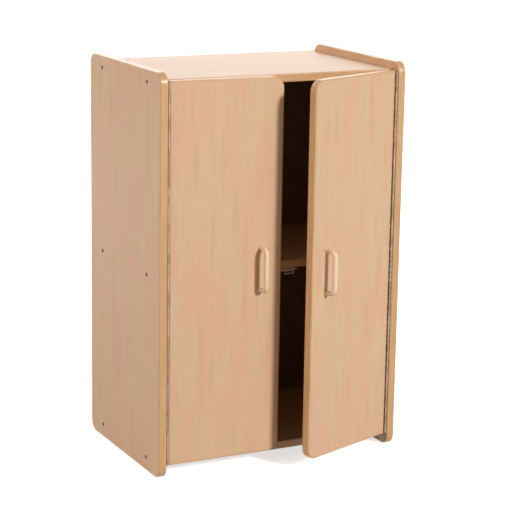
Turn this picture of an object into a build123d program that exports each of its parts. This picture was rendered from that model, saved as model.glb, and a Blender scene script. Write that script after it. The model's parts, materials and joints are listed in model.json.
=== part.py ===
from build123d import *
import os

# Classroom storage cabinet with two doors, in millimetres.
# +Z is up, the doors face -Y, and the origin is at the middle of the carcass on the floor.
# The left door is closed and the right door stands ajar.

os.makedirs("parts", exist_ok=True)

# Driving dimensions: carcass
carcass_width = 609.6
carcass_depth = 406.4
carcass_height = 914.4
board = 19.0
side_corner_radius = 25.0
side_rise = 17.0
foot_height = 21.5
shelf_underside = 448.1
shelf_setback = 19.0
shelf_to_back = 0.3

# Driving dimensions: edge bands
band = 3.0
band_arris = 1.6

# Driving dimensions: back panel and its grooves
back_thickness = 6.0
back_inset = 12.0
groove_depth = 8.0
groove_clearance = 0.2

# Driving dimensions: doors
door_recess = 4.5
door_to_top_panel = 1.5
door_below_top = 1.3
door_above_underside = 7.7
hinge_gap = 6.0
centre_gap = 8.0
door_corner_radius = 27.0
door_ajar = 21.1

# Driving dimensions: continuous hinge
pin_ahead_of_door = 2.0
leaf_bedding = 0.2
leaf_thickness = 1.2
leaf_width = 17.5
pin_clearance = 0.05
knuckle_pitch = 25.4
knuckle_gap = 0.3
knuckle_sides = 10
bore_sides = 6
notch_clearance = 0.4
leaf_screw_line = 11.0
leaf_screw_spacing = 250.0
leaf_screw_end = 25.4

# Driving dimensions: bow handle
handle_from_edge = 49.5
handle_centres = 96.0
handle_projection = 25.0
handle_rod = 10.0
handle_sides = 12
handle_bend = 14.0
handle_bend_steps = 6
handle_foot = 12.5
handle_flare = 5.0
handle_foot_rim = 1.0

# Driving dimensions: magnetic catch and strike
catch_from_centre = 28.0
catch_length = 44.0
catch_depth = 34.0
catch_case_width = 25.4
catch_case_depth = 25.0
catch_case_height = 10.0
catch_wall = 1.2
catch_corner = 3.0
catch_slot_length = 8.0
catch_slot_from_rear = 8.0
pole_thickness = 1.4
pole_proud = 0.8
magnet_recess = 1.5
magnet_clearance = 0.1
strike_width = 26.0
strike_height = 12.0
strike_thickness = 1.5
strike_corner = 2.0
strike_clearance = 0.3

# Driving dimensions: screws, which have flat sides to keep the model light
screw_sides = 8
screw_clearance = 0.05
screw_from_edge = 74.0
head_sink = 0.4
head_rim = 0.2
carcass_screw = {"head": 9.0, "shank": 5.0, "length": 50.0}
leaf_screw = {"head": 5.4, "shank": 3.0, "length": 14.0}
handle_screw = {"head": 8.0, "shank": 4.0, "length": 31.0}
catch_screw = {"head": 6.4, "shank": 3.2, "length": 14.0}
back_screw = {"head": 7.0, "shank": 3.2, "length": 22.0}
back_screw_spacing = 200.0

# Carcass planes
outer_x = carcass_width / 2
inner_x = outer_x - board
front_y = -carcass_depth / 2
rear_y = carcass_depth / 2
bottom_underside = foot_height
bottom_surface = foot_height + board
top_surface = carcass_height - side_rise
top_underside = top_surface - board
cross_board_middles = [low + board / 2 for low in (bottom_underside, shelf_underside, top_underside)]

# Door planes
door_face_y = front_y + door_recess
door_back_y = door_face_y + board
panel_front_y = door_back_y + door_to_top_panel
shelf_front_y = panel_front_y + shelf_setback
door_bottom = bottom_underside + door_above_underside
door_top = top_surface - door_below_top
door_height = door_top - door_bottom
door_middle = (door_top + door_bottom) / 2
door_hinge_x = hinge_gap - inner_x
door_free_x = -centre_gap / 2
door_width = door_free_x - door_hinge_x
door_centre_x = (door_free_x + door_hinge_x) / 2

# Back panel planes
back_rear_y = rear_y - back_inset
back_front_y = back_rear_y - back_thickness
back_middle_y = (back_front_y + back_rear_y) / 2
groove_width = back_thickness + 2 * groove_clearance
back_let_in = groove_depth - groove_clearance
shelf_rear_y = back_front_y - shelf_to_back

# Hinge places, for the left door
pin_x = hinge_gap / 2 - inner_x
pin_y = door_face_y - pin_ahead_of_door
barrel_radius = hinge_gap / 2 - leaf_bedding
bore_radius = barrel_radius - leaf_thickness
pin_radius = bore_radius - pin_clearance
knuckle_pairs = int(door_height / knuckle_pitch) // 2
hinge_length = 2 * knuckle_pairs * knuckle_pitch
hinge_low = door_middle - hinge_length / 2
leaf_start = barrel_radius + notch_clearance
leaf_screw_gaps = int((hinge_length - 2 * leaf_screw_end) / leaf_screw_spacing)
leaf_screw_low = door_middle - leaf_screw_gaps * leaf_screw_spacing / 2
leaf_screw_heights = [leaf_screw_low + i * leaf_screw_spacing for i in range(leaf_screw_gaps + 1)]
leaf_screw_y = pin_y + leaf_screw_line

# Handle places, for the left door
handle_x = door_free_x - handle_from_edge
handle_foot_heights = [door_middle - handle_centres / 2, door_middle + handle_centres / 2]

# Catch places, for the left door
catch_x = -catch_from_centre
pole_front_y = door_back_y + strike_thickness + strike_clearance
catch_front_y = pole_front_y + pole_proud
catch_middle_y = catch_front_y + catch_depth / 2
catch_base = shelf_underside - catch_case_height
catch_middle = shelf_underside - catch_case_height / 2
catch_inside_width = catch_case_width - 2 * catch_wall
catch_inside_height = catch_case_height - 2 * catch_wall
catch_inside_depth = catch_case_depth - catch_wall
catch_screw_offset = (catch_length + catch_case_width) / 4
catch_screw_y = catch_front_y + catch_depth - catch_slot_from_rear
catch_screw_xs = [catch_x - catch_screw_offset, catch_x + catch_screw_offset]

# The right door hangs on the mirror image of the left door's pin.
right_pin = Axis((-pin_x, pin_y, 0), (0, 0, 1))


def write_piece(piece, name):
    """Label a piece that has no left and right, and write its file."""
    piece.part.label = name
    export_step(piece.part, f"parts/{name}.step")


def write_pair(left, name, hung=False):
    """Write a left-hand piece and its mirror image, which turns with the ajar door if it hangs on it."""
    write_piece(left, "left_" + name)
    mirrored = left.part.mirror(Plane.YZ)
    if hung:
        mirrored = mirrored.rotate(right_pin, door_ajar)
    with BuildPart() as right:
        add(mirrored)
    write_piece(right, "right_" + name)


def facing(direction, points):
    """One plane at each point, all facing the same way."""
    return [Plane(origin=point, z_dir=direction) for point in points]


def sunk_screw(head, shank, length, clearance=0.0):
    """Flat-head wood screw, head face on z = 0 and point downwards.

    With a clearance it is instead the hole for that screw, open above the head.
    """
    head_depth = (head - shank) / 2
    with BuildPart() as screw:
        with BuildSketch(Plane.XY.offset(-head_depth - head_rim)):
            RegularPolygon(head / 2 + clearance, screw_sides, major_radius=False)
        extrude(amount=head_depth + head_rim)
        chamfer(screw.faces().sort_by(Axis.Z)[0].edges(), head_depth)
        with BuildSketch(Plane.XY.offset(-length - clearance)):
            RegularPolygon(shank / 2 + clearance, screw_sides, major_radius=False)
        extrude(amount=length + clearance - head_depth - head_rim)
        if clearance:
            extrude(screw.faces().sort_by(Axis.Z)[-1], amount=head)
        else:
            chamfer(screw.faces().sort_by(Axis.Z)[0].edges(), shank / 3)
    return screw.part


def pan_screw(head, shank, length, clearance=0.0):
    """Pan-head screw, underside of the head on z = 0 and shank downwards.

    With a clearance it is instead the hole for that screw's shank, open above.
    """
    with BuildPart() as screw:
        with BuildSketch():
            RegularPolygon(shank / 2 + clearance, screw_sides, major_radius=False)
        extrude(amount=-length - clearance)
        if clearance:
            extrude(screw.faces().sort_by(Axis.Z)[-1], amount=head)
        else:
            with BuildSketch():
                RegularPolygon(head / 2, screw_sides, major_radius=False)
            extrude(amount=0.3 * head)
            chamfer(screw.faces().sort_by(Axis.Z)[-1].edges(), 0.15 * head)
    return screw.part


# Carcass screws, two through each side panel into each of the three cross boards
carcass_screw_ys = [front_y + screw_from_edge, rear_y - screw_from_edge]
carcass_screw_places = facing(
    (-1, 0, 0),
    [(head_sink - outer_x, y, z) for z in cross_board_middles for y in carcass_screw_ys],
)
with BuildPart() as left_carcass_screws:
    with Locations(*carcass_screw_places):
        add(sunk_screw(**carcass_screw))
write_pair(left_carcass_screws, "carcass_screws")

# Side panel, a faced board with a groove for the back panel
side_leaf_screw_places = facing(
    (1, 0, 0),
    [(pin_x - barrel_radius + leaf_thickness, leaf_screw_y, z) for z in leaf_screw_heights],
)
with BuildPart() as left_side_panel:
    with BuildSketch(Plane.YZ.offset(-outer_x)):
        with Locations((0, carcass_height / 2)):
            RectangleRounded(carcass_depth - 2 * band, carcass_height - 2 * band, side_corner_radius - band)
    extrude(amount=board)
    with BuildSketch(Plane.YZ.offset(-inner_x)):
        with Locations((back_middle_y, (bottom_surface + top_underside) / 2)):
            Rectangle(groove_width, top_underside - bottom_surface + 2 * groove_depth)
    extrude(amount=-groove_depth, mode=Mode.SUBTRACT)
    with Locations(*carcass_screw_places):
        add(sunk_screw(**carcass_screw, clearance=screw_clearance), mode=Mode.SUBTRACT)
    with Locations(*side_leaf_screw_places):
        add(sunk_screw(**leaf_screw, clearance=screw_clearance), mode=Mode.SUBTRACT)
write_pair(left_side_panel, "side_panel")

# Edge band round the side panel, both arrises eased
with BuildPart() as left_side_edge_band:
    with BuildSketch(Plane.YZ.offset(-outer_x)):
        with Locations((0, carcass_height / 2)):
            RectangleRounded(carcass_depth, carcass_height, side_corner_radius)
            RectangleRounded(
                carcass_depth - 2 * band,
                carcass_height - 2 * band,
                side_corner_radius - band,
                mode=Mode.SUBTRACT,
            )
    extrude(amount=board)
    rims = left_side_edge_band.faces().filter_by(Axis.X)
    chamfer([edge for rim in rims for edge in rim.outer_wire().edges()], band_arris)
write_pair(left_side_edge_band, "side_edge_band")


def cross_board(underside, board_front_y, board_rear_y, groove_side=0):
    """Board between the side panels; groove_side is 1 or -1 where its top or underside has the groove."""
    core_front_y = board_front_y + band
    middle = underside + board / 2
    with BuildPart() as cross:
        with Locations((0, (core_front_y + board_rear_y) / 2, middle)):
            Box(2 * inner_x, board_rear_y - core_front_y, board)
        if groove_side:
            with Locations((0, back_middle_y, middle + groove_side * (board - groove_depth) / 2)):
                Box(2 * inner_x, groove_width, groove_depth, mode=Mode.SUBTRACT)
        for end in (-1, 1):
            screw_heads = [(end * (outer_x - head_sink), y, middle) for y in carcass_screw_ys]
            with Locations(*facing((end, 0, 0), screw_heads)):
                add(sunk_screw(**carcass_screw, clearance=screw_clearance), mode=Mode.SUBTRACT)
    return cross


def front_band(underside, board_front_y):
    """Edge band on the front of a cross board, its two front arrises eased."""
    with BuildPart() as strip:
        with Locations((0, board_front_y + band / 2, underside + board / 2)):
            Box(2 * inner_x, band, board)
        chamfer(strip.edges().filter_by(Axis.X).group_by(Axis.Y)[0], band_arris)
    return strip


# Top panel just below the tops of the side panels, and bottom panel raised to leave the feet
write_piece(cross_board(top_underside, panel_front_y, rear_y, groove_side=-1), "top_panel")
write_piece(front_band(top_underside, panel_front_y), "top_front_band")
write_piece(cross_board(bottom_underside, panel_front_y, rear_y, groove_side=1), "bottom_panel")
write_piece(front_band(bottom_underside, panel_front_y), "bottom_front_band")

# Back panel, a thin board let into the four boards round it and screwed to the shelf
back_screw_xs = [-back_screw_spacing, 0, back_screw_spacing]
back_screw_places = facing((0, 1, 0), [(x, back_rear_y, shelf_underside + board / 2) for x in back_screw_xs])
with BuildPart() as back_panel:
    with BuildSketch(Plane.XZ.offset(-back_rear_y)):
        with Locations((0, (bottom_surface + top_underside) / 2)):
            Rectangle(2 * (inner_x + back_let_in), top_underside - bottom_surface + 2 * back_let_in)
    extrude(amount=back_thickness)
    with Locations(*back_screw_places):
        add(pan_screw(**back_screw, clearance=screw_clearance), mode=Mode.SUBTRACT)
write_piece(back_panel, "back_panel")

with BuildPart() as back_panel_screws:
    with Locations(*back_screw_places):
        add(pan_screw(**back_screw))
write_piece(back_panel_screws, "back_panel_screws")

# Fixed shelf, set back behind the doors, bored for the back panel's and the catches' screws
catch_flange_face = shelf_underside - catch_wall
catch_screw_points = [(x, catch_screw_y, catch_flange_face) for x in catch_screw_xs]
mirrored_points = [(-x, y, z) for x, y, z in catch_screw_points]
with BuildPart() as shelf:
    add(cross_board(shelf_underside, shelf_front_y, shelf_rear_y).part)
    with Locations(*back_screw_places):
        add(pan_screw(**back_screw, clearance=screw_clearance), mode=Mode.SUBTRACT)
    with Locations(*facing((0, 0, -1), catch_screw_points + mirrored_points)):
        add(pan_screw(**catch_screw, clearance=screw_clearance), mode=Mode.SUBTRACT)
write_piece(shelf, "shelf")
write_piece(front_band(shelf_underside, shelf_front_y), "shelf_front_band")

# Door, a faced board with its free-edge corners rounded, bored for the screws that enter it
door_leaf_screw_places = facing(
    (-1, 0, 0),
    [(pin_x + barrel_radius - leaf_thickness, leaf_screw_y, z) for z in leaf_screw_heights],
)
handle_screw_places = facing((0, 1, 0), [(handle_x, door_back_y, z) for z in handle_foot_heights])
strike_place = Plane(origin=(catch_x, door_back_y, catch_middle), x_dir=(1, 0, 0), z_dir=(0, 1, 0))
strike_screw_place = strike_place.offset(strike_thickness)
with BuildPart() as left_door:
    with BuildSketch(Plane.XZ.offset(-door_back_y)) as door_core:
        with Locations((door_centre_x, door_middle)):
            Rectangle(door_width - 2 * band, door_height - 2 * band)
        fillet(door_core.vertices().group_by(Axis.X)[-1], door_corner_radius - band)
    extrude(amount=board)
    with Locations(*handle_screw_places):
        add(pan_screw(**handle_screw, clearance=screw_clearance), mode=Mode.SUBTRACT)
    with Locations(*door_leaf_screw_places, strike_screw_place):
        add(sunk_screw(**leaf_screw, clearance=screw_clearance), mode=Mode.SUBTRACT)
write_pair(left_door, "door", hung=True)

# Edge band round the door, both arrises eased
with BuildPart() as left_door_edge_band:
    with BuildSketch(Plane.XZ.offset(-door_back_y)) as door_rim:
        with Locations((door_centre_x, door_middle)):
            Rectangle(door_width, door_height)
        fillet(door_rim.vertices().group_by(Axis.X)[-1], door_corner_radius)
        add(door_core.sketch_local, mode=Mode.SUBTRACT)
    extrude(amount=board)
    rims = left_door_edge_band.faces().filter_by(Axis.Y)
    chamfer([edge for rim in rims for edge in rim.outer_wire().edges()], band_arris)
    with Locations(*door_leaf_screw_places):
        add(sunk_screw(**leaf_screw, clearance=screw_clearance), mode=Mode.SUBTRACT)
write_pair(left_door_edge_band, "door_edge_band", hung=True)


def hinge_leaf(outward, first_knuckle, screw_places):
    """Leaf of the left hinge: outward is -1 for the side panel's leaf and 1 for the door's leaf.

    The leaf is tangent to the barrel, and every second knuckle along the pin is its own.
    """
    plate_x = pin_x + outward * (barrel_radius - leaf_thickness / 2)
    first_low = hinge_low + first_knuckle * knuckle_pitch + knuckle_gap / 2
    knuckle_lows = [first_low + 2 * i * knuckle_pitch for i in range(knuckle_pairs)]
    with BuildPart() as leaf:
        with BuildSketch(Plane.XY.offset(hinge_low)):
            with Locations((plate_x, pin_y + (leaf_start + leaf_width) / 2)):
                Rectangle(leaf_thickness, leaf_width - leaf_start)
        extrude(amount=hinge_length)
        with BuildSketch(*[Plane.XY.offset(low) for low in knuckle_lows]):
            with Locations((pin_x, pin_y)):
                RegularPolygon(barrel_radius, knuckle_sides, major_radius=False, rotation=180 / knuckle_sides)
            with Locations((plate_x, pin_y + leaf_start / 2)):
                Rectangle(leaf_thickness, leaf_start)
            with Locations((pin_x, pin_y)):
                RegularPolygon(bore_radius, bore_sides, major_radius=False, mode=Mode.SUBTRACT)
        extrude(amount=knuckle_pitch - knuckle_gap)
        with Locations(*screw_places):
            add(sunk_screw(**leaf_screw, clearance=screw_clearance), mode=Mode.SUBTRACT)
    return leaf


def leaf_screws(screw_places):
    """Row of flat-head screws through a leaf of the left hinge."""
    with BuildPart() as screws:
        with Locations(*screw_places):
            add(sunk_screw(**leaf_screw))
    return screws


# Continuous hinge: two leaves with interleaved knuckles on one long pin
write_pair(hinge_leaf(-1, 0, side_leaf_screw_places), "fixed_hinge_leaf")
write_pair(hinge_leaf(1, 1, door_leaf_screw_places), "moving_hinge_leaf", hung=True)
write_pair(leaf_screws(side_leaf_screw_places), "fixed_leaf_screws")
write_pair(leaf_screws(door_leaf_screw_places), "moving_leaf_screws", hung=True)

with BuildPart() as left_hinge_pin:
    with BuildSketch(Plane.XY.offset(hinge_low)):
        with Locations((pin_x, pin_y)):
            Circle(pin_radius)
    extrude(amount=hinge_length)
write_pair(left_hinge_pin, "hinge_pin")

# Bow handle: a rod bent to a bow in short straight steps, with two flared feet bored for the screws
with BuildPart() as flared_foot:
    with BuildSketch():
        RegularPolygon(handle_foot / 2, handle_sides, major_radius=False)
    extrude(amount=handle_flare)
    foot_top = flared_foot.faces().sort_by(Axis.Z)[-1]
    chamfer(foot_top.edges(), (handle_foot - handle_rod) / 2, handle_flare - handle_foot_rim, reference=foot_top)

grip_y = door_face_y - handle_projection
handle_feet = facing((0, -1, 0), [(handle_x, door_face_y, z) for z in handle_foot_heights])
bend_centre = Vector(handle_x, grip_y + handle_bend, handle_foot_heights[1] - handle_bend)
bend_spoke = Vector(0, 0, handle_bend)
bend_turns = [90 * step / handle_bend_steps for step in range(handle_bend_steps + 1)]
upper_bend = [bend_centre + bend_spoke.rotate(Axis.X, turn) for turn in bend_turns]
lower_bend = [Vector(point.X, point.Y, 2 * door_middle - point.Z) for point in reversed(upper_bend)]
with BuildPart() as left_handle:
    with BuildLine() as bow:
        Polyline(handle_feet[1].origin, *upper_bend, *lower_bend, handle_feet[0].origin)
    with BuildSketch(handle_feet[1]):
        RegularPolygon(handle_rod / 2, handle_sides, major_radius=False)
    sweep(path=bow.line, transition=Transition.RIGHT)
    with Locations(*handle_feet):
        add(flared_foot.part)
    with Locations(*handle_screw_places):
        add(pan_screw(**handle_screw, clearance=screw_clearance), mode=Mode.SUBTRACT)
write_pair(left_handle, "handle", hung=True)

with BuildPart() as left_handle_screws:
    with Locations(*handle_screw_places):
        add(pan_screw(**handle_screw))
write_pair(left_handle_screws, "handle_screws", hung=True)

# Catch case: a flange with two slots, screwed under the shelf, and a box under it that is open to the door
with BuildPart() as left_catch_case:
    with BuildSketch(Plane.XY.offset(shelf_underside)) as flange:
        with Locations((catch_x, catch_middle_y)):
            Rectangle(catch_length, catch_depth)
        chamfer(flange.vertices(), catch_corner)
    extrude(amount=-catch_wall)
    for slot_x in catch_screw_xs:
        with BuildSketch(Plane.XY.offset(shelf_underside)):
            slot_reach = (catch_slot_length - catch_screw["shank"]) / 2
            with Locations((slot_x, catch_screw_y - slot_reach), (slot_x, catch_screw_y + slot_reach)):
                RegularPolygon(catch_screw["shank"] / 2 + screw_clearance, screw_sides, major_radius=False)
            make_hull()
        extrude(amount=-catch_wall, mode=Mode.SUBTRACT)
    with Locations((catch_x, catch_front_y + catch_case_depth / 2, catch_middle)):
        Box(catch_case_width, catch_case_depth, catch_case_height)
    with Locations((catch_x, catch_front_y + catch_inside_depth / 2, catch_middle)):
        Box(catch_inside_width, catch_inside_depth, catch_inside_height, mode=Mode.SUBTRACT)
write_pair(left_catch_case, "catch_case")

# Two steel pole plates with the magnet between them, stacked on the floor of the case
pole_width = catch_inside_width - 2 * magnet_clearance
pole_depth = catch_inside_depth + pole_proud - magnet_clearance
stack_height = catch_inside_height - magnet_clearance
stack_base = catch_base + catch_wall
magnet_height = stack_height - 2 * pole_thickness
magnet_depth = catch_inside_depth - magnet_recess - magnet_clearance
with BuildPart() as left_catch_poles:
    for pole_base in (stack_base, stack_base + stack_height - pole_thickness):
        with Locations((catch_x, pole_front_y + pole_depth / 2, pole_base + pole_thickness / 2)):
            Box(pole_width, pole_depth, pole_thickness)
write_pair(left_catch_poles, "catch_poles")

with BuildPart() as left_catch_magnet:
    magnet_middle_y = catch_front_y + magnet_recess + magnet_depth / 2
    with Locations((catch_x, magnet_middle_y, stack_base + stack_height / 2)):
        Box(pole_width, magnet_depth, magnet_height)
write_pair(left_catch_magnet, "catch_magnet")

with BuildPart() as left_catch_screws:
    with Locations(*facing((0, 0, -1), catch_screw_points)):
        add(pan_screw(**catch_screw))
write_pair(left_catch_screws, "catch_screws")

# Strike plate on the back of the door, and its screw
with BuildPart() as left_strike_plate:
    with BuildSketch(strike_place) as strike_outline:
        Rectangle(strike_width, strike_height)
        chamfer(strike_outline.vertices(), strike_corner)
    extrude(amount=strike_thickness)
    with Locations(strike_screw_place):
        add(sunk_screw(**leaf_screw, clearance=screw_clearance), mode=Mode.SUBTRACT)
write_pair(left_strike_plate, "strike_plate", hung=True)

with BuildPart() as left_strike_screw:
    with Locations(strike_screw_place):
        add(sunk_screw(**leaf_screw))
write_pair(left_strike_screw, "strike_screw", hung=True)
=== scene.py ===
# %% [markdown]
# # A classroom storage cabinet
#
# The cabinet arrives as a frame of plain solids, each at its real place and size. This lesson gives it
# its finish: faced boards with a maple print, honey edge bands with rounded arrises, a hinge as long as
# each door, cream bow handles, screws and magnetic catches.
#
# A solid that is already right, such as a flat shelf, keeps its mesh and only gets a material. A piece
# whose roundness or small detail shows is made again, finer, in the same place.

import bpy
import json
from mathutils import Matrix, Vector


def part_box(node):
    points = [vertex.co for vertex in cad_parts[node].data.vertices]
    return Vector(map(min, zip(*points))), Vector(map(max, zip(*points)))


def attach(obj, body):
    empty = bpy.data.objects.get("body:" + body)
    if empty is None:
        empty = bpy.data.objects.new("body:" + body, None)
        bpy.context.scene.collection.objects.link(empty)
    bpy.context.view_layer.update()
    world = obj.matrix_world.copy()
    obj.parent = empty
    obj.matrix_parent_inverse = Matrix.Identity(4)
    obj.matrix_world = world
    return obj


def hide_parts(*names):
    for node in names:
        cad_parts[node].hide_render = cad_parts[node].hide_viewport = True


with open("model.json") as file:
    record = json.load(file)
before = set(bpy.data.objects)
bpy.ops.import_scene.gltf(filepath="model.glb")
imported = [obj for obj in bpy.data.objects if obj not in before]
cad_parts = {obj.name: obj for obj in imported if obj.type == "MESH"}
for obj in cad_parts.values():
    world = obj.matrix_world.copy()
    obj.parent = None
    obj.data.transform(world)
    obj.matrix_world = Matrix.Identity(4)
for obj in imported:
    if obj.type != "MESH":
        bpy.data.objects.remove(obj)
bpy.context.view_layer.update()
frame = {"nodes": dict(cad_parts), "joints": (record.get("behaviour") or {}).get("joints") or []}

# %% [markdown]
# ## Places and sizes
#
# Everything here is in metres, as Blender wants it. Places are read from the frame, so that a piece made
# here lands on the solid that it stands for. Only what a box can't tell, such as the radius of a corner,
# is written down. The seam is the fine line that shows between a board and its band, and the hair is a gap
# too small to see, which keeps two surfaces from lying in one plane.

# %% Places from the frame
import json
import math

import bmesh
import bpy
import numpy as np
from mathutils import Matrix, Vector
from mathutils.geometry import tessellate_polygon

joint = {made["name"]: made for made in frame["joints"]}
left_pin = np.array(joint["left_door_hinge"]["pos_m"])
right_pin = np.array(joint["right_door_hinge"]["pos_m"])
door_ajar = math.radians(-joint["right_door_hinge"]["range_deg"][0])


def span(node):
    """Lowest and highest corner of a solid of the frame."""
    low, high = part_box(node)
    return np.array(low), np.array(high)


side_low, side_high = span("left_side_edge_band")
door_low, door_high = span("left_door_edge_band")
board = side_high[0] - side_low[0]
print("boards %.1f mm thick, right door %.1f degrees ajar" % (board * 1000, math.degrees(door_ajar)))

# %% Sizes that a box doesn't tell
band = 0.003
band_arris = 0.0024
side_corner = 0.025
door_corner = 0.027
seam = 0.00015
hair = 0.00002
print("edge band %.0f mm thick, arris radius %.1f mm" % (band * 1000, band_arris * 1000))

# %% [markdown]
# ## From grids to meshes
#
# Nearly every surface on this cabinet is a sheet that two numbers can steer: along and across an edge
# band, round and along a handle, out and round on a screw head. Such a sheet is an array of points, rows
# by columns, and numpy works it out whole. Where a sheet closes on itself, its first row or column is
# given twice, and where it ends in a pole, a whole row is one point. The doubles are merged in the mesh,
# which leaves closed shells, and the normals are then recalculated so that all faces point outwards.
#
# Each sheet also carries pattern coordinates, its distances along and across, so that the grain of an
# edge band can follow it round the corners.

# %% Skins made of sheets
def run_lengths(points):
    """Distance from the first point to each point along a line of points."""
    steps = np.linalg.norm(np.diff(points, axis=0), axis=-1)
    return np.concatenate([[0.0], np.cumsum(steps)])


def grid(points):
    """Skin of one sheet: points[i, j] is its place at row i and column j.

    The faces join each point with the next one along its row, its column and both. The pattern is the
    distance along the middle column and along the middle row.
    """
    rows, columns = points.shape[:2]
    number = np.arange(rows * columns).reshape(rows, columns)
    quads = np.stack([number[:-1, :-1], number[1:, :-1], number[1:, 1:], number[:-1, 1:]], axis=-1)
    along, across = run_lengths(points[:, columns // 2]), run_lengths(points[rows // 2])
    pattern = np.stack(np.meshgrid(along, across, indexing="ij"), axis=-1)
    return points.reshape(-1, 3), [quads.reshape(-1, 4)], pattern.reshape(-1, 2)


def joined(*skins):
    """Several skins as one: the numbers in each one's faces move up past the points before it."""
    starts = np.cumsum([0] + [len(points) for points, _, _ in skins])
    faces = [numbers + start for start, (_, made, _) in zip(starts, skins) for numbers in made]
    return np.concatenate([skin[0] for skin in skins]), faces, np.concatenate([skin[2] for skin in skins])


def copies(skin, places, axes):
    """The skin at each place, its own x, y and z laid along the three rows of axes."""
    points, faces, pattern = skin
    moved = np.asarray(places)[:, None, :] + (points @ np.asarray(axes, float))[None, :, :]
    return joined(*[(one, faces, pattern) for one in moved])


def closed_rings(rings):
    """Rings of points as one closed skin: each ring closes on itself, and each end is drawn to its middle."""
    rings = np.concatenate([rings, rings[:, :1]], axis=1)
    poles = [np.broadcast_to(ring[:-1].mean(axis=0), ring.shape) for ring in (rings[0], rings[-1])]
    return grid(np.concatenate([poles[:1], rings, poles[1:]]))


def slab(front, back):
    """Closed skin between two sheets of the same rows and columns, with the walls of their rim."""
    loop = np.concatenate([front, back[::-1], front[:1]])
    walls = [grid(np.stack([front[:, edge], back[:, edge]])) for edge in (0, -1)]
    return joined(grid(loop), *walls)


# %% Left and right, and from skin to piece
def right_hand(skin, hung):
    """Mirror image of a left-hand skin: x changes sign, and a hung piece turns about the right pin.

    A turn by angle a takes (x, y) from the pin to (x cos a - y sin a, x sin a + y cos a).
    """
    points = skin[0] * (-1, 1, 1)
    if hung:
        c, s = math.cos(door_ajar), math.sin(door_ajar)
        points = (points - right_pin) @ np.array([[c, s, 0], [-s, c, 0], [0, 0, 1]]) + right_pin
    return points, skin[1], skin[2]


merge_distance = 1e-6


def piece(name, skin, finish, body, *nodes, crease=35):
    """Object made from a skin, riding on a body in place of the frame's nodes.

    Creases of more than the given angle stay sharp.
    """
    points, faces, pattern = skin
    mesh = bpy.data.meshes.new(name)
    mesh.from_pydata(points.tolist(), [], [face for numbers in faces for face in numbers.tolist()])
    corner_points = np.empty(len(mesh.loops), np.int32)
    mesh.loops.foreach_get("vertex_index", corner_points)
    layer = mesh.uv_layers.new(name="pattern")
    layer.data.foreach_set("uv", pattern[corner_points].astype(np.float32).ravel())
    knit = bmesh.new()
    knit.from_mesh(mesh)
    bmesh.ops.remove_doubles(knit, verts=knit.verts, dist=merge_distance)
    bmesh.ops.recalc_face_normals(knit, faces=knit.faces)
    loose = sum(not edge.is_manifold for edge in knit.edges)
    knit.to_mesh(mesh)
    knit.free()
    mesh.shade_smooth()
    mesh.set_sharp_from_angle(angle=math.radians(crease))
    mesh.materials.append(finish)
    made = bpy.data.objects.new(name, mesh)
    bpy.context.scene.collection.objects.link(made)
    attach(made, body)
    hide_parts(*nodes)
    print("%-34s %6d faces, %d open edges" % (name, len(mesh.polygons), loose))


def pair(node, skin, finish, hung=False, crease=35):
    """A left-hand piece and its mirror image on the right, each on its door if it hangs there."""
    for side, placed in (("left", skin), ("right", right_hand(skin, hung))):
        body = side + "_door" if hung else "cabinet"
        piece(f"{side}_{node}_finished", placed, finish, body, f"{side}_{node}", crease=crease)


# %% [markdown]
# ## Shader arithmetic
#
# A material is a small calculation done at every point of a surface. Written as nodes it sprawls, and
# written as an expression it stays readable, so one class wraps a socket and turns plus, minus and times
# into Math nodes. Colours never pass through it, because a Math node would turn them grey: they go
# through Mix nodes.

# %% One socket, one node method
class Signal:
    """An output socket that can be added, subtracted and multiplied."""

    def __init__(self, finish, socket):
        self.finish, self.socket = finish, socket

    def reckon(self, operation, first, second):
        return self.finish.node("ShaderNodeMath", {"operation": operation}, {0: first, 1: second})

    def __add__(self, other):
        return self.reckon("ADD", self, other)

    def __sub__(self, other):
        return self.reckon("SUBTRACT", self, other)

    def __rsub__(self, other):
        return self.reckon("SUBTRACT", other, self)

    def __mul__(self, other):
        return self.reckon("MULTIPLY", self, other)

    __radd__ = __add__
    __rmul__ = __mul__


seed_stride = (3.7, 5.3, 7.1)


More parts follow.
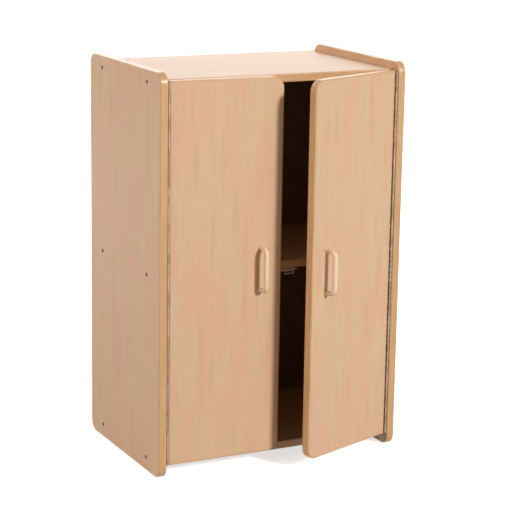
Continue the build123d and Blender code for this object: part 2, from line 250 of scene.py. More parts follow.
class Finish:
    """A material under construction, with one Principled surface and the nodes that feed it."""

    def __init__(self, name):
        self.material = bpy.data.materials.new(name)
        self.material.use_nodes = True
        self.tree = self.material.node_tree
        self.surface = self.tree.nodes["Principled BSDF"]

    def feed(self, socket, value):
        """Link a signal to a socket, or set a plain value on it."""
        if isinstance(value, Signal):
            self.tree.links.new(value.socket, socket)
        else:
            socket.default_value = value

    def node(self, kind, settings=None, values=None, out=0):
        """New node of a kind: its settings first, then the values or links of its sockets."""
        made = self.tree.nodes.new(kind)
        for setting, value in (settings or {}).items():
            setattr(made, setting, value)
        for place, value in (values or {}).items():
            self.feed(made.inputs[place], value)
        return Signal(self, made.outputs[out])

    def mix(self, first, second, share):
        """Colour on the way from the first to the second, by a share from 0 to 1."""
        return self.node("ShaderNodeMix", {"data_type": "RGBA"}, {0: share, 6: first, 7: second}, out=2)

    def rise(self, value, low, high, floor=0.0, ceiling=1.0):
        """Smooth step: floor below low, ceiling above high."""
        values = {0: value, 1: low, 2: high, 3: floor, 4: ceiling}
        return self.node("ShaderNodeMapRange", {"interpolation_type": "SMOOTHSTEP"}, values)

    def cloud(self, place, sizes, seed, detail=2.0, roughness=0.5):
        """Noise from 0 to 1 whose patches have these sizes in metres along x, y and z."""
        stretch = tuple(1 / size for size in sizes)
        offset = tuple(seed * stride for stride in seed_stride)
        stretched = {0: place, 1: stretch, 2: offset}
        at = self.node("ShaderNodeVectorMath", {"operation": "MULTIPLY_ADD"}, stretched)
        values = {"Vector": at, "Scale": 1.0, "Detail": detail, "Roughness": roughness}
        return self.node("ShaderNodeTexNoise", None, values)

    def bump(self, height, strength, distance):
        """Surface normal that follows a height from 0 to 1 over a distance in metres."""
        values = {"Strength": strength, "Distance": distance, "Height": height}
        return self.node("ShaderNodeBump", None, values)

    def done(self, **sockets):
        """Set or link the surface's sockets, named in lower case with underscores, and give the material."""
        for name, value in sockets.items():
            self.feed(self.surface.inputs[name.replace("_", " ").title()], value)
        return self.material


def ink(red, green, blue):
    """Linear colour of a screen colour from 0 to 255: its share of 255, with the screen's curve undone."""
    shares = [value / 255 for value in (red, green, blue)]
    return (*[s / 12.92 if s <= 0.04045 else ((s + 0.055) / 1.055) ** 2.4 for s in shares], 1.0)


# %% [markdown]
# ## Maple print on the boards
#
# The boards are particle board faced with a printed film. The print shows maple: a pale beige that
# drifts to pink in long soft patches, faint streaks a few millimetres wide, and short dark pores. All of it
# runs along the grain, up the sides and doors and across the shelf. Stretched noise draws each
# layer at its own size, because one noise at one size always looks like fog. The film has a satin press
# finish, so roughness varies only a little and the relief is nearly nothing.

# %% Maple print
def maple_print(name, grain, seed):
    """Faced board; grain is 0 where the print runs along x and 2 where it runs up z."""
    finish = Finish(name)
    place = finish.node("ShaderNodeTexCoord", out=3)

    def layer(across, along, number, detail=2.0):
        sizes = [across, across, across]
        sizes[grain] = along
        return finish.cloud(place, sizes, seed + number, detail)

    patches = layer(0.040, 0.20, 1)
    broad = layer(0.018, 0.16, 2)
    fine = layer(0.0050, 0.08, 3, detail=3.0)
    pores = layer(0.0009, 0.011, 4, detail=1.0)
    beige, pink = ink(217, 182, 142), ink(221, 174, 141)
    brown, dark = ink(196, 150, 112), ink(176, 130, 94)
    colour = finish.mix(beige, pink, finish.rise(patches, 0.36, 0.64))
    colour = finish.mix(colour, brown, finish.rise(broad, 0.48, 0.80, 0.0, 0.30))
    colour = finish.mix(colour, brown, finish.rise(fine, 0.48, 0.78, 0.0, 0.16))
    colour = finish.mix(colour, dark, finish.rise(pores, 0.66, 0.76, 0.0, 0.26))
    colour = finish.mix(colour, ink(232, 197, 160), finish.rise(fine, 0.50, 0.26, 0.0, 0.14))
    return finish.done(
        base_color=colour,
        roughness=0.40 + 0.10 * fine,
        normal=finish.bump(fine + 0.5 * pores, 0.12, 0.0002),
    )


upright_maple = maple_print("maple_print_upright", grain=2, seed=3)
level_maple = maple_print("maple_print_level", grain=0, seed=11)

# %% [markdown]
# ## Honey edge band
#
# The cut edges are covered by a thick strip in a warmer, honey-coloured maple. Its grain runs along the
# strip, so the pattern reads the strip's own coordinates and not its place in space: that way the streaks
# turn the corners with the band. The strip is rounded at both arrises and a little glossier than the
# boards, which gives it the thin bright lines beside the faces.

# %% Honey edge band
def honey_band(name, seed):
    """Edge band; its pattern coordinates are the distance along the strip and the distance across it."""
    finish = Finish(name)
    place = finish.node("ShaderNodeTexCoord", out=2)
    drift = finish.cloud(place, (0.15, 0.012, 1.0), seed)
    lines = finish.cloud(place, (0.09, 0.0016, 1.0), seed + 1, detail=3.0)
    pores = finish.cloud(place, (0.007, 0.0005, 1.0), seed + 2, detail=1.0)
    colour = finish.mix(ink(205, 162, 110), ink(214, 164, 118), finish.rise(drift, 0.35, 0.65))
    colour = finish.mix(colour, ink(176, 128, 76), finish.rise(lines, 0.48, 0.72, 0.0, 0.55))
    colour = finish.mix(colour, ink(228, 190, 140), finish.rise(lines, 0.48, 0.30, 0.0, 0.40))
    colour = finish.mix(colour, ink(150, 104, 60), finish.rise(pores, 0.64, 0.74, 0.0, 0.35))
    return finish.done(
        base_color=colour,
        roughness=0.34 + 0.12 * lines,
        normal=finish.bump(lines, 0.10, 0.0002),
        coat_weight=0.15,
        coat_roughness=0.25,
    )


honey = honey_band("honey_edge_band", seed=21)

# %% [markdown]
# ## Boards with pockets
#
# A side panel or door is a flat outline with some thickness. Its rim is a grid of four rings, with a hair's
# breadth cut off at both arrises so that the joint with the edge band shows as a fine line. The two faces
# are filled by splitting the outline into triangles, which also leaves room for pockets: the sunk screws of
# the side panels sit in them. A boolean could cut the pockets as well, but it leaves long stray edges.
#
# The outline comes as points and a reach. Moving each point back along its reach gives the same outline
# with an inset, round corners and sharp ones alike, which is how the core and the band round it fit.

# %% Outlines
def rounded_outline(low, high, radii, steps=12, rest=0.001):
    """Rectangle with rounded corners, anticlockwise from its lowest corner: its points and their reach.

    On a corner of radius r a point is the centre plus r times the direction of its angle, which is its
    reach. A corner of radius 0 is one point with a diagonal reach. The outline inset by d is the points
    minus d times the reach. One more point at rest from each end of an arc keeps the straights flat.
    """
    points, reach = [], []
    for corner, (sign, radius) in enumerate(zip([(-1, -1), (1, -1), (1, 1), (-1, 1)], radii)):
        tip = np.where(np.array(sign) > 0, high, low)
        if radius == 0:
            points.append(tip[None])
            reach.append(np.array([sign], float))
            continue
        angle = np.radians(180 + 90 * corner + np.linspace(0, 90, steps + 1))
        spokes = np.stack([np.cos(angle), np.sin(angle)], axis=-1)
        onward = np.stack([-np.sin(angle), np.cos(angle)], axis=-1)
        arc = tip - radius * np.array(sign) + radius * spokes
        points.append(np.concatenate([arc[:1] - rest * onward[:1], arc, arc[-1:] + rest * onward[-1:]]))
        reach.append(np.concatenate([spokes[:1], spokes, spokes[-1:]]))
    return np.concatenate(points), np.concatenate(reach)


def circle(centre, radius, steps=32):
    """Ring of points in the plane: the centre plus the radius times the cosine and sine of the angle."""
    angle = np.linspace(0, 2 * np.pi, steps, endpoint=False)
    return np.asarray(centre) + radius * np.stack([np.cos(angle), np.sin(angle)], axis=-1)


class Plane:
    """A flat face in space: where its own zero lies, its two directions, and the direction into the board."""

    def __init__(self, origin, across, up, inward):
        self.origin = np.array(origin, float)
        self.axes = np.array([across, up, inward], float)

    def at(self, flat, depth):
        """Points of the face, sunk by a depth: the origin plus each coordinate times its direction."""
        depth = np.broadcast_to(depth, flat.shape[:-1])[..., None]
        return self.origin + np.concatenate([flat, depth], axis=-1) @ self.axes


# %% Boards
def filled(plane, depth, loops):
    """Flat skin inside the first loop and outside the others, split into triangles."""
    corners = [[Vector((x, y, 0)) for x, y in loop] for loop in loops]
    triangles = np.array(tessellate_polygon(corners))
    flat = np.concatenate(loops)
    return plane.at(flat, depth), [triangles], flat


def ring_wall(plane, flats, depths):
    """Grid of rings: each flat loop at its depth, closed on itself."""
    rings = np.stack([plane.at(flat, depth) for flat, depth in zip(flats, depths)])
    return grid(np.concatenate([rings, rings[:, :1]], axis=1))


def flat_board(plane, outline, reach, thickness, inset=0.0, ease=seam, holes=(), hole_depth=None):
    """Board with its arrises eased at 45 degrees; holes go through, or down to a depth as pockets."""
    insets = (inset + ease, inset, inset, inset + ease)
    depths = (0.0, ease, thickness - ease, thickness)
    flats = [outline - step * reach for step in insets]
    floor = thickness if hole_depth is None else hole_depth
    through = list(holes) if hole_depth is None else []
    parts = [ring_wall(plane, flats, depths)]
    parts.append(filled(plane, 0.0, [flats[0], *holes]))
    parts.append(filled(plane, thickness, [flats[-1], *through]))
    parts += [ring_wall(plane, (hole, hole), (0.0, floor)) for hole in holes]
    if hole_depth is not None:
        parts += [filled(plane, floor, [hole]) for hole in holes]
    return joined(*parts)


# %% Side panels
screw_from_edge = 0.074
carcass_hole = 0.0051
pocket = 0.0016
side_face = Plane((side_low[0], 0, 0), (0, 1, 0), (0, 0, 1), (1, 0, 0))
side_outline, side_reach = rounded_outline(side_low[1:], side_high[1:], [side_corner] * 4)
cross_boards = [span(name) for name in ("bottom_panel", "shelf", "top_panel")]
cross_middles = [(low[2] + high[2]) / 2 for low, high in cross_boards]
screw_rows = (side_low[1] + screw_from_edge, side_high[1] - screw_from_edge)
carcass_screw_spots = [(y, z) for z in cross_middles for y in screw_rows]
side_holes = [circle(spot, carcass_hole) for spot in carcass_screw_spots]
side_board = flat_board(side_face, side_outline, side_reach, board, band, holes=side_holes, hole_depth=pocket)
pair("side_panel", side_board, upright_maple)

# %% Door boards
door_face = Plane((0, door_low[1], 0), (1, 0, 0), (0, 0, 1), (0, 1, 0))
door_radii = [0, door_corner, door_corner, 0]
door_outline, door_reach = rounded_outline(door_low[::2], door_high[::2], door_radii)
pair("door", flat_board(door_face, door_outline, door_reach, board, band), upright_maple, hung=True)

# %% [markdown]
# ## Edge bands
#
# The band is one section carried round the outline of its board: a strip 3 mm thick whose two outer
# arrises are quarter circles. The section's first number is an inset from the outline and its second a
# depth through the board, so the same few lines serve round and sharp corners. A modifier could round a
# plain strip too, but the carried section also hands over the distance along the band, which the grain
# needs.

# %% Carried section
def band_section(thickness, steps=6, rest=0.0002):
    """Section of a band, as inset and depth: an inner corner, a quarter circle, the edge, and back again.

    On a quarter circle of radius r the inset is r (1 - sin a) and the depth r (1 - cos a), a from 0 to 90.
    """
    turn = np.linspace(0, np.pi / 2, steps + 1)
    arc = band_arris * np.stack([1 - np.sin(turn), 1 - np.cos(turn)], axis=-1)
    shoulder = [(band, seam), (band - seam, 0), (band_arris + rest, 0)]
    half = np.concatenate([shoulder, arc, [(0, band_arris + rest)]])
    return np.concatenate([half, half[::-1] * (1, -1) + (0, thickness)])


section = band_section(board)


def carried_band(plane, outline, reach):
    """The section carried round an outline: rows run along the band and columns round the section."""
    flat = outline[:, None, :] - section[None, :, :1] * reach[:, None, :]
    rows = plane.at(flat, section[:, 1])
    rows = np.concatenate([rows, rows[:1]])
    return grid(np.concatenate([rows, rows[:, :1]], axis=1))


pair("side_edge_band", carried_band(side_face, side_outline, side_reach), honey)
pair("door_edge_band", carried_band(door_face, door_outline, door_reach), honey, hung=True)

# %% Straight bands on the cross boards
near_end = 0.001
for node in ("top_front_band", "shelf_front_band", "bottom_front_band"):
    low, high = span(node)
    stations = np.array([low[0], low[0] + near_end, high[0] - near_end, high[0]])
    strip = np.zeros((len(stations), len(section), 3))
    strip[..., 0] = stations[:, None]
    strip[..., 1] = low[1] + section[:, 0]
    strip[..., 2] = low[2] + section[:, 1]
    piece(node + "_finished", closed_rings(strip), honey, "cabinet", node)

# %% [markdown]
# ## Boards that keep their solids
#
# The top, the shelf and the bottom are plain boards whose screw holes nobody sees, so their solids stay and
# only get the print. The back is a thin brown hardboard: smooth, with the faint fibre flecks that its hot
# press leaves.

# %% Cross boards and the back
def hardboard(name, seed):
    """Pressed brown fibre board with flecks and a soft sheen."""
    finish = Finish(name)
    place = finish.node("ShaderNodeTexCoord", out=3)
    clouds = finish.cloud(place, (0.06, 0.06, 0.06), seed, detail=3.0)
    flecks = finish.cloud(place, (0.0018, 0.0018, 0.0010), seed + 1, detail=2.0)
    colour = finish.mix(ink(126, 98, 77), ink(118, 90, 70), finish.rise(clouds, 0.30, 0.70))
    colour = finish.mix(colour, ink(84, 60, 46), finish.rise(flecks, 0.55, 0.75, 0.0, 0.35))
    colour = finish.mix(colour, ink(152, 122, 98), finish.rise(flecks, 0.42, 0.25, 0.0, 0.4))
    return finish.done(
        base_color=colour,
        roughness=0.46 + 0.16 * flecks,
        normal=finish.bump(flecks, 0.15, 0.0002),
    )


def dress(node, finish):
    """Put a material on a solid of the frame."""
    frame["nodes"][node].data.materials.clear()
    frame["nodes"][node].data.materials.append(finish)


for node in ("top_panel", "shelf", "bottom_panel"):
    dress(node, level_maple)
dress("back_panel", hardboard("brown_hardboard", seed=31))

# %% [markdown]
# ## Metals
#
# The metals differ in colour, in how rough they are and in the marks that their making left: drawn wire
# and rolled strip are brushed along their length, zinc plate is cloudy, and the screws of the side panels
# carry a dark phosphate coat. One function makes them all from two tones, a roughness and the sizes of
# the marks, because only these differ.

# %% Metals
def metal(name, pale, deep, roughness, brushed, seed, metallic=1.0, relief=0.08):
    """Metal between two tones; brushed gives the sizes of its marks in metres along x, y and z."""
    finish = Finish(name)
    place = finish.node("ShaderNodeTexCoord", out=3)
    marks = finish.cloud(place, brushed, seed, detail=3.0)
    clouds = finish.cloud(place, (0.02, 0.02, 0.03), seed + 1)
    colour = finish.mix(pale, deep, finish.rise(clouds, 0.35, 0.65, 0.0, 0.6))
    colour = finish.mix(colour, deep, finish.rise(marks, 0.5, 0.8, 0.0, 0.5))
    return finish.done(
        base_color=colour,
        metallic=metallic,
        roughness=(roughness - 0.08) + 0.16 * marks,
        normal=finish.bump(marks, relief, 0.0001),
    )


rolled, drawn, pressed = (0.0006, 0.0006, 0.012), (0.0003, 0.0003, 0.020), (0.012, 0.0006, 0.0006)
plated, coated, sintered = (0.002,) * 3, (0.0008,) * 3, (0.0007,) * 3
# The hinge strip and its pin get a darkened, brownish steel: painted shade that stands in for the shade in
# the narrow gaps beside the doors, where the hinges sit.
hinge_steel = metal("tarnished_strip", ink(168, 150, 132), ink(122, 98, 78), 0.32, rolled, seed=41)
pin_steel = metal("drawn_wire", ink(150, 128, 108), ink(116, 94, 76), 0.28, drawn, seed=43)
zinc_steel = metal("zinc_plate", ink(192, 196, 200), ink(160, 166, 174), 0.36, plated, seed=45)
aluminium = metal("pressed_aluminium", ink(240, 240, 236), ink(214, 214, 210), 0.24, pressed, seed=47)
dark_screw = metal("dark_phosphate", ink(64, 48, 38), ink(34, 26, 22), 0.44, coated, 49, metallic=0.4)
ferrite = metal("dark_ferrite", ink(58, 58, 62), ink(40, 40, 44), 0.62, sintered, 51, metallic=0.2,
                relief=0.2)

for side in ("left", "right"):
    dress(side + "_hinge_pin", pin_steel)
    dress(side + "_catch_poles", zinc_steel)
    dress(side + "_catch_magnet", ferrite)

# %% [markdown]
# ## Cream plastic
#
# The handles are moulded in cream nylon. It is satin, and a faint mottle runs through it where the hot
# plastic flowed into the mould. A plain colour would look like paint at this distance, so two tones of cream
# drift into each other and a very fine grain takes the edge off the gloss.

# %% Cream plastic
def cream_plastic(name, seed):
    """Satin moulded plastic with a faint mottle from its flow."""
    finish = Finish(name)
    place = finish.node("ShaderNodeTexCoord", out=3)
    flow = finish.cloud(place, (0.010, 0.010, 0.030), seed, detail=2.0)
    grain = finish.cloud(place, (0.0005, 0.0005, 0.0005), seed + 1, detail=1.0)
    colour = finish.mix(ink(244, 216, 188), ink(238, 206, 176), finish.rise(flow, 0.35, 0.65))
    return finish.done(
        base_color=colour,
        roughness=0.32 + 0.10 * grain,
        normal=finish.bump(grain, 0.06, 0.0001),
    )


cream = cream_plastic("cream_plastic", seed=61)

# %% [markdown]
# ## Bow handles
#
# Each handle is a round rod bent twice, with a flared foot at each end. Its middle line is a straight leg, a
# quarter circle, the grip, another quarter circle and the second leg. A ring is set square to that line at
# each station, and the ring's radius swells near the door to make the foot. A curve with a round bevel
# would do for the rod, but its feet would need a second piece.

# %% Bow handle
handle_low, handle_high = span("left_handle")
rod = 0.0057
foot = 0.00625
bend = 0.014
flare = 0.005
foot_edge = 0.0003
leg_stations = [0, foot_edge, 0.001, 0.002, 0.003, 0.004, flare]
handle_x = (handle_low[0] + handle_high[0]) / 2
reach_out = door_low[1] - (handle_low[1] + rod)
leg = reach_out - bend
top_foot, low_foot = handle_high[2] - foot, handle_low[2] + foot


def bow_line(arc_steps=14):
    """Middle line of the bow: distance out from the door, height, and the two parts of its direction.

    Along a leg only the distance changes. On a quarter circle the distance and height follow the sine and
    cosine of the angle. The second half is the first one backwards, turned over about the grip's middle.
    """
    out = np.array([*leg_stations, leg - near_end])
    turn = np.linspace(0, np.pi / 2, arc_steps + 1)
    zero, one = np.zeros_like(out), np.ones_like(out)
    down = [out, one * top_foot, one, zero]
    upper = [leg + bend * np.sin(turn), top_foot - bend + bend * np.cos(turn), np.cos(turn), -np.sin(turn)]
    half = np.concatenate([down, upper], axis=1)
    other = half[:, ::-1] * np.array([[1], [-1], [-1], [1]])
    other[1] += top_foot + low_foot
    return np.concatenate([half, other], axis=1)


def bow_handle(sides=28):
    """Rings square to the middle line, of the rod's radius r.

    Near the door the radius is r plus the square of what is left of the flare, and the last ring is a
    little smaller, so that the foot has an eased edge.
    """
    out, height, out_step, up_step = bow_line()
    fall = np.clip((out - foot_edge) / (flare - foot_edge), 0, 1)
    radius = rod + (foot - rod) * (1 - fall) ** 2 - np.where(out < foot_edge / 2, foot_edge, 0)
    angle = np.linspace(0, 2 * np.pi, sides, endpoint=False)
    wide, deep = np.cos(angle), np.sin(angle)
    rings = np.empty((len(out), sides, 3))
    rings[..., 0] = handle_x + radius[:, None] * wide
    rings[..., 1] = door_low[1] - out[:, None] + (radius * up_step)[:, None] * deep
    rings[..., 2] = height[:, None] + (radius * out_step)[:, None] * deep
    return closed_rings(rings)


pair("handle", bow_handle(), cream, hung=True, crease=50)

# %% [markdown]
# ## Screws
#
# Only the heads of the screws show. A head is a small dome worked out on a disc of rings and spokes, with a
# cross pressed into it: two arms whose edges ramp down over a fraction of a millimetre. One skin serves for
# a whole kind of screw, and is copied to each place.

# %% Screw heads
arm_length = 0.62
arm_edge = 0.25
cross_depth = 0.28
last_ring = 0.92
flat_crown, flat_skirt = 0.0001, 0.0008


def screw_head(radius, crown, skirt, arm, rings=12, spokes=48):
    """Head with its rim at z = 0: a dome less a cross, then its wall and a flat underside.

    The dome falls with the square of the distance from the axis. The cross is as deep as the larger of its
    two arms, each the product of a ramp across its width and a ramp along its length, and gets shallower
    outwards. Arm length, cross depth and the last ring are shares of the radius.
    """
    out = radius * np.concatenate([np.linspace(0, last_ring, rings), [1.0]])[:, None]
    angle = np.linspace(0, 2 * np.pi, spokes, endpoint=False)[None, :]
    x, y = out * np.cos(angle), out * np.sin(angle)

    def ramp(distance, edge):
        return np.clip((edge - np.abs(distance)) / (arm_edge * arm) + 0.5, 0, 1)

    length = arm_length * radius
    cross = np.maximum(ramp(x, arm / 2) * ramp(y, length), ramp(y, arm / 2) * ramp(x, length))
    dome = crown * (1 - (out / radius) ** 2)
    deep = cross_depth * radius * cross * (1.2 - out / radius)
    top = np.stack([x, y, dome - deep], axis=-1)
    wall = np.stack([x[-1], y[-1], np.full(spokes, -skirt)], axis=-1)
    return closed_rings(np.concatenate([top, wall[None]]))


def axes_facing(normal, up=(0, 0, 1)):
    """Directions for a head that faces along normal: its x, its y and its axis."""
    normal = np.array(normal, float)
    across = np.cross(up, normal)
    return np.stack([across, np.cross(normal, across), normal])


def pan_head(radius, height, arm):
    """Domed head that stands on its surface: half its height is wall, and half is dome."""
    return screw_head(radius, height / 2, height / 2, arm)


def flat_head(radius, arm, rings=12, spokes=48):
    """Countersunk head, nearly flat, whose rim lies level with its surface."""
    return screw_head(radius, flat_crown, flat_skirt, arm, rings, spokes)


# %% Carcass, handle and back screws
sunk = 0.0004
carcass_places = [(side_low[0] + sunk, y, z) for y, z in carcass_screw_spots]
carcass_head = screw_head(0.0048, 0.0002, 0.001, arm=0.0015)
pair("carcass_screws", copies(carcass_head, carcass_places, axes_facing((-1, 0, 0))), dark_screw)

pan_height = 0.0024
inner_places = [(handle_x, door_high[1] + pan_height / 2, z) for z in (low_foot, top_foot)]
inner_head = pan_head(0.004, pan_height, arm=0.0013)
pair("handle_screws", copies(inner_head, inner_places, axes_facing((0, 1, 0))), zinc_steel, hung=True)

back_low, back_high = span("back_panel_screws")
back_face = span("back_panel")[1][1]
back_spacing, back_height = 0.2, 0.002
back_places = [(x, back_face + back_height / 2, (back_low[2] + back_high[2]) / 2)
               for x in (-back_spacing, 0, back_spacing)]
back_heads = copies(pan_head(0.0035, back_height, arm=0.0011), back_places, axes_facing((0, 1, 0)))
piece("back_panel_screws_finished", back_heads, zinc_steel, "cabinet", "back_panel_screws")

# %% [markdown]
# ## The long hinge
#
# Each door hangs on one continuous hinge as long as the door: two steel leaves whose knuckles interleave on
# a single wire. A leaf is a flat strip, and each knuckle is a tongue of that strip rolled round the pin, so
# it is drawn as one: its middle line runs straight down to the pin and then round it, and stops short
# of touching itself. The knuckles are half an inch long, and every second one along the pin belongs to the
# same leaf.

# %% Rolled knuckles
barrel = 0.0028
strip = 0.0012
leaf_start = barrel + 0.0004
leaf_end = 0.0175
knuckle_pitch = 0.0127
knuckle_gap = 0.0007
curl = 310
tongue_bend = 0.0006
pin_low, pin_high = span("left_hinge_pin")
knuckles = round((pin_high[2] - pin_low[2]) / knuckle_pitch)


def knuckle(arc_steps=18):
    """One tongue from its leaf round the pin, in its own axes: out to the leaf, back from the pin, and up.

    At turn a the outer face is R cos a out and -R sin a back, and the inner face the same with R less the
    strip's thickness. Before the turn both run straight, side by side, from the leaf.
    """
    turn = np.radians(np.linspace(0, curl, arc_steps + 1))
    faces = []
    for radius in (barrel, barrel - strip):
        straight = np.array([[radius, leaf_start - hair], [radius, tongue_bend]])
        round_part = radius * np.stack([np.cos(turn), -np.sin(turn)], axis=-1)
        line = np.concatenate([straight, round_part])
        levels = np.array([knuckle_gap / 2, knuckle_pitch - knuckle_gap / 2])
        sheet = np.empty((len(line), 2, 3))
        sheet[..., :2] = line[:, None, :]
        sheet[..., 2] = levels
        faces.append(sheet)
    return slab(*faces)


# %% Leaves and their screws
leaf_screw_line = 0.011
leaf_screw_step = 0.0508
leaf_head = 0.0027
leaf_pocket = 0.8 * strip
leaf_ease = 0.0001
head_room = 0.0001
leaf_screws = round((pin_high[2] - pin_low[2]) / leaf_screw_step)
leaf_screw_heights = pin_low[2] + leaf_screw_step * (np.arange(leaf_screws) + 0.5)
countersink = leaf_head + head_room
print("%d knuckles and %d screws a leaf on each hinge" % (knuckles, leaf_screws))


def hinge_leaf(outward, first):
    """Flat strip with screw holes, and every second knuckle from the first one.

    The strip lies on the side of the pin that outward says, -1 or 1 along x.
    """
    face_x = left_pin[0] + outward * (barrel - strip)
    plane = Plane((face_x, left_pin[1], 0), (0, 1, 0), (0, 0, 1), (outward, 0, 0))
    low, high = np.array([leaf_start, pin_low[2]]), np.array([leaf_end, pin_high[2]])
    outline, reach = rounded_outline(low, high, [0] * 4)
    holes = [circle((leaf_screw_line, z), countersink, 20) for z in leaf_screw_heights]
    plate = flat_board(plane, outline, reach, strip, ease=leaf_ease, holes=holes, hole_depth=leaf_pocket)
    levels = pin_low[2] + knuckle_pitch * np.arange(first, knuckles, 2)
    places = [(left_pin[0], left_pin[1], level) for level in levels]
    return joined(plate, copies(knuckle(), places, [(outward, 0, 0), (0, 1, 0), (0, 0, 1)]))


def leaf_heads(outward):
    """Row of countersunk heads, level with the leaf's open face."""
    face_x = left_pin[0] + outward * (barrel - strip)
    places = [(face_x, left_pin[1] + leaf_screw_line, z) for z in leaf_screw_heights]
    head = flat_head(leaf_head, arm=0.0009, rings=8, spokes=24)
    return copies(head, places, axes_facing((-outward, 0, 0)))


for side_of_pin, node, hung in ((-1, "fixed", False), (1, "moving", True)):
    pair(node + "_hinge_leaf", hinge_leaf(side_of_pin, int(hung)), hinge_steel, hung)
    pair(node + "_leaf_screws", leaf_heads(side_of_pin), zinc_steel, hung)

# %% [markdown]
# ## Magnetic catches
#
# Under the shelf sits a magnetic catch for each door: a pressed flange with two slots, and below it a case,
# open to the door, that holds two pole plates and the magnet. The case is a tube with a closed rear, so its
# rings run from the middle of its inner wall out over the mouth and back to the middle of its outer wall.
# That gives the wall its thickness and both its rounded lips in one grid.

# %% Catch case
catch_low, catch_high = span("left_catch_case")
catch_wall = 0.0012
case_half = 0.0127
case_depth = 0.025
lip = 0.0003
slot_radius = 0.0017
slot_half = 0.0015
slot_from_rear = 0.008
small_arc = {"steps": 6, "rest": 0.0005}
flange_corner, flange_ease = 0.003, 0.0002
case_corners = (0.0018, 0.0018, 0.0013, 0.0013)
catch_x = (catch_low[0] + catch_high[0]) / 2
catch_screw_xs = catch_x + np.array([-1, 1]) * (catch_high[0] - catch_low[0] + 2 * case_half) / 4
catch_screw_y = catch_high[1] - slot_from_rear


def slot_ring(centre, radius, half, steps=12):
    """Slot along y: a half circle at each end, its centre moved by half the slot's straight part."""
    ring = circle(centre, radius, 2 * steps)
    return ring + np.where(ring[:, 1:] > centre[1] - hair, 1, -1) * (0, half)


def catch_case():
    """Flange under the shelf, and the open case below it."""
    under_shelf = Plane((0, 0, catch_high[2]), (1, 0, 0), (0, 1, 0), (0, 0, -1))
    outline, reach = rounded_outline(catch_low[:2], catch_high[:2], [flange_corner] * 4, **small_arc)
    slots = [slot_ring((x, catch_screw_y), slot_radius, slot_half) for x in catch_screw_xs]
    flange = flat_board(under_shelf, outline, reach, catch_wall, ease=flange_ease, holes=slots)
    low = np.array([catch_x - case_half, catch_low[2]])
    high = np.array([catch_x + case_half, catch_high[2] - catch_wall - hair])
    outline, reach = rounded_outline(low, high, case_corners, steps=5, rest=lip)
    front, rear = catch_low[1], catch_low[1] + case_depth
    stations = [(catch_wall, rear - catch_wall), (catch_wall, front + lip), (catch_wall - lip, front),
                (lip, front), (0.0, front + lip), (0.0, rear - 2 * lip), (2 * lip, rear)]
    rings = []
    for inset, y in stations:
        flat = outline - inset * reach
        rings.append(np.stack([flat[:, 0], np.full(len(flat), y), flat[:, 1]], axis=-1))
    return joined(flange, closed_rings(np.array(rings)))


pair("catch_case", catch_case(), aluminium)
catch_head_height = 0.0016
catch_head_z = catch_high[2] - catch_wall - catch_head_height / 2
catch_places = [(x, catch_screw_y, catch_head_z) for x in catch_screw_xs]
catch_head = pan_head(0.0032, catch_head_height, arm=0.001)
pair("catch_screws", copies(catch_head, catch_places, axes_facing((0, 0, -1), (0, 1, 0))), zinc_steel)

# %% [markdown]
# ## Strike plates
#
# On the back of each door a small zinc-plated plate meets the poles of the catch. Its countersunk screw sits
# in a pocket, made in the same way as the pockets of the side panels.

# %% Strike plates
strike_low, strike_high = span("left_strike_plate")
strike_middle = (strike_low + strike_high) / 2
strike_corner = 0.002
strike_pocket = 0.001
strike_face = Plane((0, strike_high[1], 0), (1, 0, 0), (0, 0, 1), (0, -1, 0))
strike_corners = [strike_corner] * 4
strike_outline, strike_reach = rounded_outline(strike_low[::2], strike_high[::2], strike_corners, **small_arc)
strike_hole = circle(strike_middle[::2], countersink, 24)
strike_thickness = strike_high[1] - strike_low[1]
strike = flat_board(strike_face, strike_outline, strike_reach, strike_thickness, ease=lip,
                    holes=[strike_hole], hole_depth=strike_pocket)
pair("strike_plate", strike, zinc_steel, hung=True)
strike_spot = [(strike_middle[0], strike_high[1], strike_middle[2])]
strike_heads = copies(flat_head(leaf_head, arm=0.0009), strike_spot, axes_facing((0, 1, 0)))
pair("strike_screw", strike_heads, zinc_steel, hung=True)

# %% [markdown]
# ## Camera
#
# The photograph was taken with a long lens from the cabinet's left front, half a metre above its top. The
# straight edges of the cabinet in the picture, together with its outside size, fix the lens and the place.
# The camera's own axes are its right, its up, and the direction backwards.

# %% Camera
view_azimuth, view_elevation, view_roll = math.radians(26.87), math.radians(13.11), math.radians(0.96)
view_place = (-1.8617, -3.7465, 1.4162)
forward = Vector((math.sin(view_azimuth) * math.cos(view_elevation),
                  math.cos(view_azimuth) * math.cos(view_elevation), -math.sin(view_elevation)))
level = Vector((math.cos(view_azimuth), -math.sin(view_azimuth), 0))
upward = level.cross(forward)
right_axis = math.cos(view_roll) * level + math.sin(view_roll) * upward
up_axis = math.cos(view_roll) * upward - math.sin(view_roll) * level
camera = bpy.data.objects.new("camera", bpy.data.cameras.new("camera"))
camera.data.lens = 127.38
camera.data.sensor_width = 36.0
camera.data.clip_end = 100.0
turned = Matrix((right_axis, up_axis, -forward)).transposed().to_4x4()
camera.matrix_world = Matrix.Translation(view_place) @ turned
bpy.context.scene.collection.objects.link(camera)
bpy.context.scene.camera = camera
bpy.context.scene.view_settings.view_transform = "Standard"

# %% [markdown]
# ## Floor and light
#
# The photograph has a white ground and light from the front right, with a soft glow on the top. The floor
# and the world are white only to the camera, to mirrors and to glass. To the cabinet they are dimmer,
# so that the room inside stays dark behind the doors, as it is in the photograph.

# %% World and floor
def seen_straight(finish):
    """1 for what the camera, a mirror or a glass sees, and 0 for light that bounces off a surface."""
    rays = finish.node("ShaderNodeLightPath")
    sockets = rays.socket.node.outputs
    straight, glossy, through = [Signal(finish, sockets[f"Is {kind} Ray"])
                                 for kind in ("Camera", "Glossy", "Transmission")]
    return finish.node("ShaderNodeClamp", None, {0: straight + glossy + through})


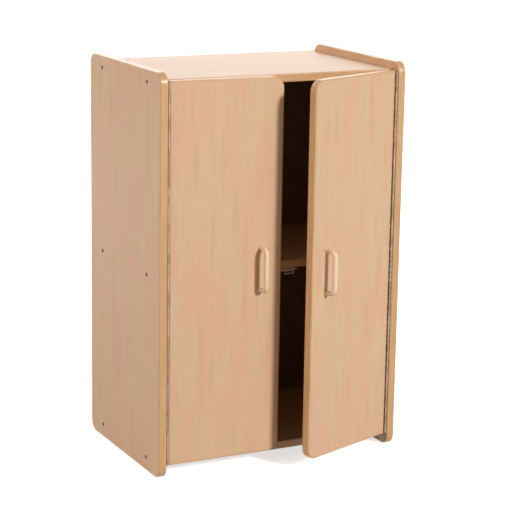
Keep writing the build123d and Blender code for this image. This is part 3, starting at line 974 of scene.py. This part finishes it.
ambient = 0.10
floor_glow = 0.66
floor_bounce = 0.36
floor_white = 0.9
floor_size = 30.0
shadow_reach = (0.8, 2.5)
black, white = (0.0, 0.0, 0.0, 1.0), (1.0, 1.0, 1.0, 1.0)


class WorldFinish(Finish):
    """The world's nodes, made with the same methods as a material's."""

    def __init__(self, name):
        self.world = bpy.data.worlds.new(name)
        self.world.use_nodes = True
        self.tree = self.world.node_tree
        self.surface = self.tree.nodes["Background"]


sky = WorldFinish("studio")
sky.feed(sky.surface.inputs["Color"], white)
sky.feed(sky.surface.inputs["Strength"], sky.rise(seen_straight(sky), 0.0, 1.0, ambient, 1.0))
bpy.context.scene.world = sky.world


def studio_floor():
    """Pale floor: white to the camera save for shadows, and dimmer to the light that bounces off it.

    Its own glow rises with the distance from the cabinet, so that it stays white where no lamp reaches.
    """
    finish = Finish("studio_floor")
    seen = seen_straight(finish)
    tone = finish.mix((floor_bounce,) * 3 + (1.0,), (floor_white,) * 3 + (1.0,), seen)
    place = finish.node("ShaderNodeTexCoord", out=3)
    away = finish.node("ShaderNodeVectorMath", {"operation": "LENGTH"}, {0: place}, out=1)
    glow = finish.mix(black, white, finish.rise(away, *shadow_reach, floor_glow, 1.0) * seen)
    finish.surface.inputs["Specular IOR Level"].default_value = 0.0
    return finish.done(base_color=tone, roughness=0.9, emission_color=glow, emission_strength=1.0)


floor_mesh = bpy.data.meshes.new("studio_floor")
floor_corners = [(x * floor_size / 2, y * floor_size / 2, 0) for x, y in ((-1, -1), (1, -1), (1, 1), (-1, 1))]
floor_mesh.from_pydata(floor_corners, [], [(0, 1, 2, 3)])
floor_mesh.materials.append(studio_floor())
studio = bpy.data.objects.new("studio_floor", floor_mesh)
bpy.context.scene.collection.objects.link(studio)

# %% [markdown]
# ## Lamps
#
# A far, fairly small lamp to the front right throws the soft-edged shadow of the open door on the closed one
# and that of each handle beside it. A large warm lamp fills the left side. Behind the cabinet, one lamp
# glances off the top towards the camera, which makes the top the palest face, and another lights the back.
#
# Each lamp is given as a share: with a share of 1, a surface that faces the lamp shows its colour as it is
# written. A lamp of P watts at distance d gives P / (pi d d), and a surface needs pi for that, so the power
# is share times pi squared times d squared.

# %% Lamps
lamp_aim = Vector((0, 0, 0.5))


def lamp(name, bearing, elevation, distance, size, share, colour=(1.0, 1.0, 1.0)):
    """Square lamp aimed at the cabinet; the bearing turns from straight ahead of the doors towards +x."""
    bearing, elevation = math.radians(bearing), math.radians(elevation)
    away = Vector((math.sin(bearing) * math.cos(elevation), -math.cos(bearing) * math.cos(elevation),
                   math.sin(elevation)))
    light = bpy.data.lights.new(name, "AREA")
    light.size = size
    light.color = colour
    light.energy = share * math.pi ** 2 * distance ** 2
    made = bpy.data.objects.new(name, light)
    turned = away.to_track_quat("Z", "Y").to_matrix().to_4x4()
    made.matrix_world = Matrix.Translation(lamp_aim + distance * away) @ turned
    bpy.context.scene.collection.objects.link(made)
    print("%-10s %6.1f W" % (name, light.energy))


lamp("key", bearing=23, elevation=24, distance=16.0, size=1.6, share=0.80)
lamp("left_fill", bearing=-85, elevation=18, distance=9.0, size=5.0, share=0.43, colour=(1.0, 0.86, 0.71))
lamp("back_glow", bearing=153, elevation=16, distance=4.0, size=2.4, share=0.23)
lamp("back_fill", bearing=-160, elevation=35, distance=6.0, size=3.0, share=0.28)
